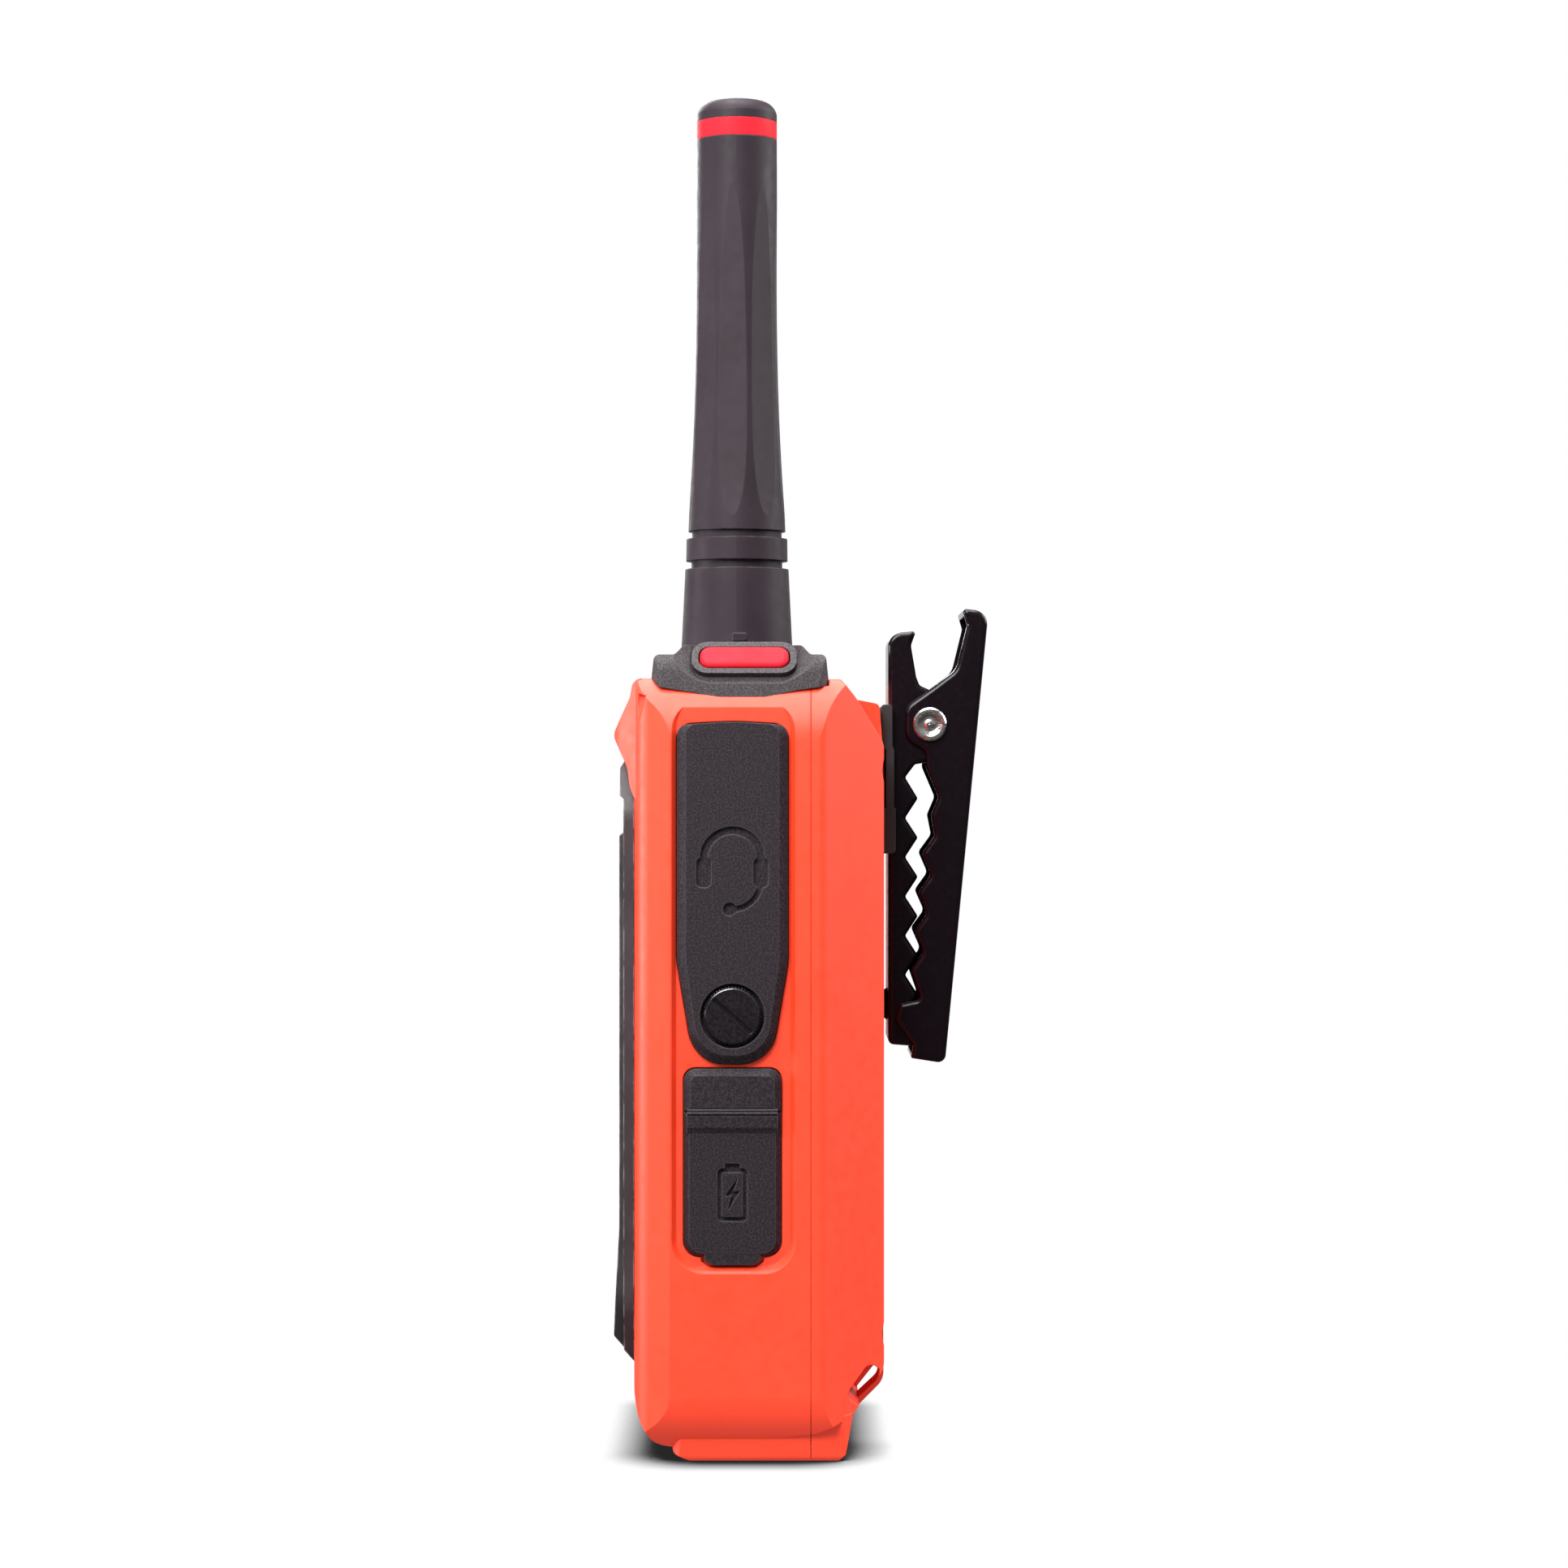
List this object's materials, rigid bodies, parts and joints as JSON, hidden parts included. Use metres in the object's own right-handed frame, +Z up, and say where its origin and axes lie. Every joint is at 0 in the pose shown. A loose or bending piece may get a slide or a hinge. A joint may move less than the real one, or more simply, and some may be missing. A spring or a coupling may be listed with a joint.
{
  "type": "two way radio",
  "caption": "Handheld two way radio with a whip antenna, side covers, talk button and a sprung toothed clip on its back.",
  "frame": {"origin": "centre of the underside of the foot that the radio stands on", "axes": "+Z up along the body and antenna, -Y the side with the display and keys, +X the side with the headset and charging covers"},
  "size_m": [0.0621, 0.0565, 0.2083],
  "materials": {
    "orange_shell": "satin, fine texture",
    "cover_rubber": "matt, fine stipple",
    "antenna_plastic": "satin, smooth",
    "cap_plastic": "matt, fine stipple",
    "red_plastic": "satin gloss",
    "black_plastic": "satin",
    "fascia_plastic": "satin",
    "lens_glass": "polished",
    "light_pipe": "polished",
    "display_panel": "gloss",
    "key_rubber": "matt",
    "clip_steel": "gloss black",
    "rivet_steel": "bright, worn",
    "spring_steel": "bright",
    "screw_steel": "satin",
    "screw_black": "gloss black",
    "brass": "bright",
    "seal_rubber": "matt",
    "circuit_board": "solder mask",
    "shield_tin": "tinned",
    "chip_epoxy": "matt",
    "battery_wrap": "film wrap",
    "foam": "soft foam",
    "speaker_frame": "plated",
    "cloth": "woven"
  },
  "bodies": {
    "housing": {"front_shell": "orange_shell", "rear_shell": "orange_shell", "shell_gasket": "seal_rubber", "shell_screws": "screw_steel", "top_cap": "cap_plastic", "top_switch": "circuit_board", "screw_insert": "brass", "headset_jacks": "black_plastic", "flap_anchor": "cover_rubber", "usb_socket": "screw_steel", "antenna_socket": "brass", "antenna_nut": "brass", "front_fascia": "fascia_plastic", "grille_panel": "fascia_plastic", "display_lens": "lens_glass", "lcd_module": "display_panel", "status_light": "light_pipe", "key_domes": "spring_steel", "key_board": "circuit_board", "side_board": "circuit_board", "speaker": "speaker_frame", "speaker_mesh": "cloth", "microphone": "shield_tin", "main_board": "circuit_board", "shield_cans": "shield_tin", "board_chips": "chip_epoxy", "battery_pack": "battery_wrap", "battery_connector": "black_plastic", "battery_pad": "foam", "clip_bracket": "black_plastic", "clip_screws": "screw_steel", "clip_fixed_jaw": "clip_steel", "clip_pivot": "rivet_steel", "clip_spring": "spring_steel", "clip_bumper": "seal_rubber"},
    "top_button": {"top_button": "red_plastic"},
    "ptt_button": {"ptt_button": "cover_rubber"},
    "side_key_upper": {"side_key_upper": "cover_rubber"},
    "side_key_lower": {"side_key_lower": "cover_rubber"},
    "key_menu": {"key_menu": "key_rubber"},
    "key_down": {"key_down": "key_rubber"},
    "key_up": {"key_up": "key_rubber"},
    "key_back": {"key_back": "key_rubber"},
    "charge_flap": {"charge_flap": "cover_rubber"},
    "headset_cover": {"headset_cover": "cover_rubber", "cover_seal": "seal_rubber", "screw_washer": "screw_steel"},
    "cover_screw": {"cover_screw": "screw_black"},
    "clip_moving_jaw": {"clip_moving_jaw": "clip_steel"},
    "antenna_seal": {"antenna_o_ring": "seal_rubber"},
    "antenna": {"antenna_whip": "antenna_plastic", "antenna_band": "red_plastic", "antenna_tip": "antenna_plastic", "antenna_connector": "brass"}
  },
  "joints": [
    {"name": "top_button_press", "type": "slide", "parent": "housing", "child": "top_button", "axis": [-0.766, 0, -0.6428], "range_m": [0, 0.0006], "stiffness_N_per_m": 1500, "springref_m": -0.00044},
    {"name": "ptt_press", "type": "slide", "parent": "housing", "child": "ptt_button", "axis": [1, 0, 0], "range_m": [0, 0.001], "stiffness_N_per_m": 1800, "springref_m": -0.00056},
    {"name": "side_key_upper_press", "type": "slide", "parent": "housing", "child": "side_key_upper", "axis": [1, 0, 0], "range_m": [0, 0.0006], "stiffness_N_per_m": 1500, "springref_m": -0.00044},
    {"name": "side_key_lower_press", "type": "slide", "parent": "housing", "child": "side_key_lower", "axis": [1, 0, 0], "range_m": [0, 0.0006], "stiffness_N_per_m": 1500, "springref_m": -0.00044},
    {"name": "key_menu_press", "type": "slide", "parent": "housing", "child": "key_menu", "axis": [0, 1, 0], "range_m": [0, 0.0005], "stiffness_N_per_m": 1500, "springref_m": -0.00033},
    {"name": "key_down_press", "type": "slide", "parent": "housing", "child": "key_down", "axis": [0, 1, 0], "range_m": [0, 0.0005], "stiffness_N_per_m": 1500, "springref_m": -0.00033},
    {"name": "key_up_press", "type": "slide", "parent": "housing", "child": "key_up", "axis": [0, 1, 0], "range_m": [0, 0.0005], "stiffness_N_per_m": 1500, "springref_m": -0.00033},
    {"name": "key_back_press", "type": "slide", "parent": "housing", "child": "key_back", "axis": [0, 1, 0], "range_m": [0, 0.0005], "stiffness_N_per_m": 1500, "springref_m": -0.00033},
    {"name": "charge_flap_hinge", "type": "hinge", "parent": "housing", "child": "charge_flap", "pos_m": [0.0303, -0.004, 0.0519], "axis": [0, -1, 0], "range_deg": [0, 120], "stiffness_Nm_per_rad": 0.0006, "springref_deg": -17.19},
    {"name": "headset_cover_lift", "type": "slide", "parent": "housing", "child": "headset_cover", "axis": [1, 0, 0], "range_m": [0, 0.0056]},
    {"name": "cover_screw_turn", "type": "hinge", "parent": "headset_cover", "child": "cover_screw", "pos_m": [0.0295, -0.004, 0.066], "axis": [1, 0, 0], "range_deg": [0, 2881]},
    {"name": "antenna_lift", "type": "slide", "parent": "housing", "child": "antenna_seal", "axis": [0, 0, 1], "range_m": [0, 0.00423]},
    {"name": "antenna_unscrew", "type": "hinge", "parent": "antenna_seal", "child": "antenna", "pos_m": [-0.014, -0.0039, 0.1207], "axis": [0, 0, 1], "range_deg": [0, 2161]},
    {"name": "clip_jaw", "type": "hinge", "parent": "housing", "child": "clip_moving_jaw", "pos_m": [0, 0.0258, 0.1091], "axis": [1, 0, 0], "range_deg": [0, 18], "stiffness_Nm_per_rad": 0.45, "springref_deg": -11.46, "deforming": ["clip_spring"]}
  ],
  "couplings": [
    {"joint": "cover_screw_turn", "follows": "headset_cover_lift", "rad_per_m": 8976},
    {"joint": "antenna_unscrew", "follows": "antenna_lift", "rad_per_m": 8904.7}
  ]
}
